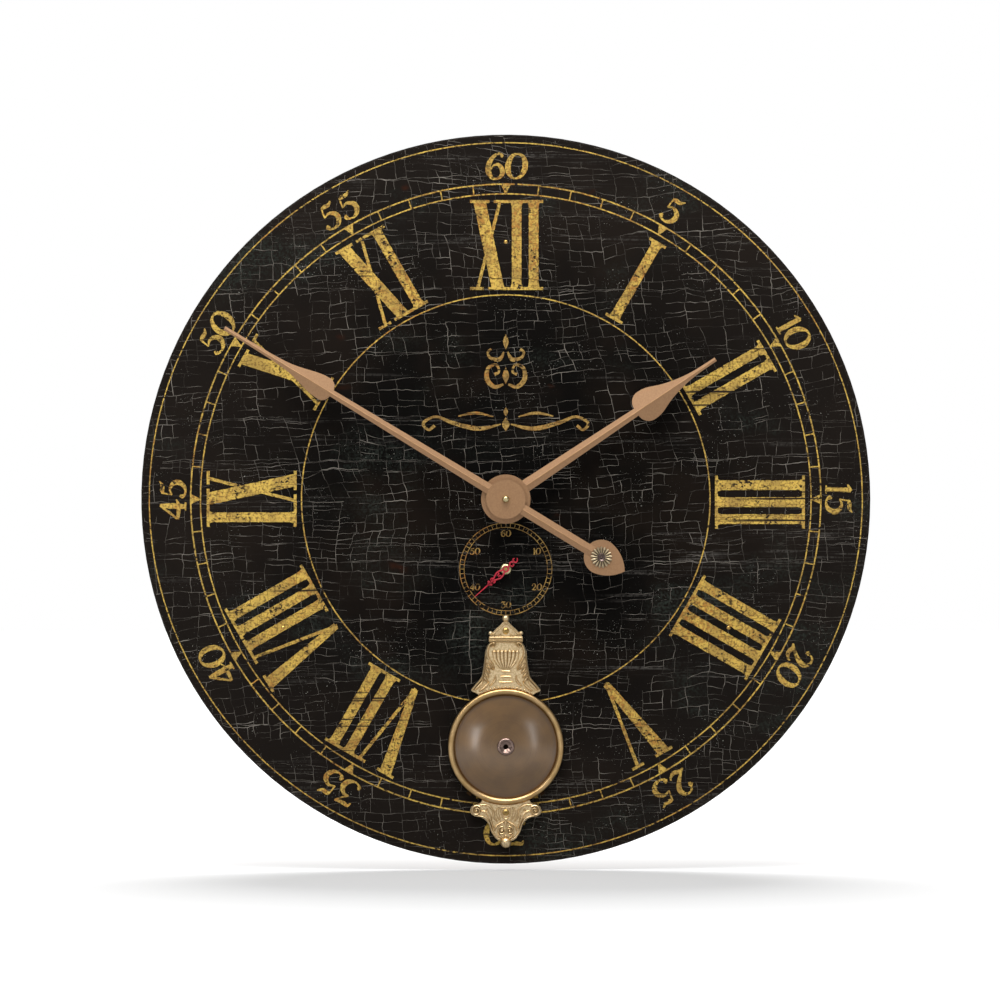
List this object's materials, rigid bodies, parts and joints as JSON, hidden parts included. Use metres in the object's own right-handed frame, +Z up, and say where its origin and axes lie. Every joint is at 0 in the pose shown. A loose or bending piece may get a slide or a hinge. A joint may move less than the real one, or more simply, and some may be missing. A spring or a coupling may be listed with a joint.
{
  "type": "pendulum wall clock",
  "caption": "Round wall clock with a dark crackled dial, spade hands, a small seconds dial and an ornate brass bob swinging in front of the lower dial.",
  "frame": {"origin": "centre of the keyhole in the hanger plate, on the wall plane", "axes": "+Y into the wall, so the dial faces -Y; +Z up; +X to the viewer's right"},
  "size_m": [0.5839, 0.0585, 0.584],
  "materials": {
    "fibreboard": "raw medium-density fibreboard",
    "printed_face": "matt laminate print, black crackle with old-gold figures",
    "steel": "zinc-plated",
    "brass": "turned, lacquered",
    "case_plastic": "moulded, fine texture",
    "gear_plastic": "natural acetal",
    "gasket_rubber": "matt",
    "battery_jacket": "plain shrink sleeve, gloss",
    "circuit": "solder mask",
    "copper_wire": "enamelled copper winding",
    "hand_paint": "satin copper-rose paint",
    "rosette_brass": "stamped, satin",
    "red_paint": "satin red",
    "cast_brass": "cast in relief, satin champagne",
    "polished_brass": "turned and polished",
    "antique_bronze": "antique bronze lacquer over brass",
    "ferrite": "sintered"
  },
  "bodies": {
    "frame": {"backing_ring": "fibreboard", "keyhole_hanger": "steel", "hanger_screw_left": "steel", "hanger_screw_right": "steel", "dial_board": "fibreboard", "dial_face": "printed_face", "dial_pin_1": "brass", "dial_pin_2": "brass", "dial_pin_3": "brass", "movement_case": "case_plastic", "movement_cover": "case_plastic", "battery": "battery_jacket", "contact_plus": "steel", "contact_spring": "steel", "seconds_motor": "steel", "circuit_board": "circuit", "quartz_crystal": "steel", "drive_coil": "copper_wire", "pivot_pin": "steel", "centre_bush": "brass", "case_gasket": "gasket_rubber", "bush_washer": "brass", "bush_nut": "brass", "seconds_bush": "brass"},
    "minute": {"minute_arbor": "brass", "centre_wheel": "gear_plastic", "cannon_pinion": "gear_plastic", "set_knob": "case_plastic", "minute_hand": "hand_paint", "tail_rosette": "rosette_brass", "cap_nut": "brass"},
    "hour": {"hour_wheel": "gear_plastic", "hour_hand": "hand_paint"},
    "motion": {"motion_wheel": "gear_plastic"},
    "third": {"third_arbor": "steel", "third_pinion": "gear_plastic", "third_wheel": "gear_plastic"},
    "seconds": {"seconds_arbor": "brass", "seconds_pinion": "gear_plastic", "seconds_hand": "red_paint"},
    "pendulum": {"pendulum_arm": "case_plastic", "pendulum_magnet": "ferrite", "bob_post": "brass", "bob_spine": "brass", "bob_bezel": "polished_brass", "bob_dish": "antique_bronze", "bob_eyelet": "antique_bronze", "bob_crest": "cast_brass", "bob_pendant": "cast_brass", "bob_screw_top": "brass", "bob_screw_bottom": "brass"}
  },
  "joints": [
    {"name": "minute_turn", "type": "hinge", "parent": "frame", "child": "minute", "pos_m": [0, 0, -0.206], "axis": [0, 1, 0], "continuous": true},
    {"name": "hour_turn", "type": "hinge", "parent": "frame", "child": "hour", "pos_m": [0, 0, -0.206], "axis": [0, 1, 0], "continuous": true},
    {"name": "motion_turn", "type": "hinge", "parent": "frame", "child": "motion", "pos_m": [0, 0, -0.194], "axis": [0, 1, 0], "continuous": true},
    {"name": "third_turn", "type": "hinge", "parent": "frame", "child": "third", "pos_m": [0, 0, -0.2348], "axis": [0, 1, 0], "continuous": true},
    {"name": "seconds_turn", "type": "hinge", "parent": "frame", "child": "seconds", "pos_m": [0, 0, -0.262], "axis": [0, 1, 0], "continuous": true},
    {"name": "pendulum_swing", "type": "hinge", "parent": "frame", "child": "pendulum", "pos_m": [0, 0, -0.284], "axis": [0, 1, 0], "range_deg": [-5, 5]}
  ],
  "couplings": [
    {"joint": "hour_turn", "follows": "minute_turn", "ratio": 0.083333},
    {"joint": "motion_turn", "follows": "minute_turn", "ratio": -0.33333},
    {"joint": "third_turn", "follows": "minute_turn", "ratio": -8},
    {"joint": "seconds_turn", "follows": "minute_turn", "ratio": 60}
  ]
}
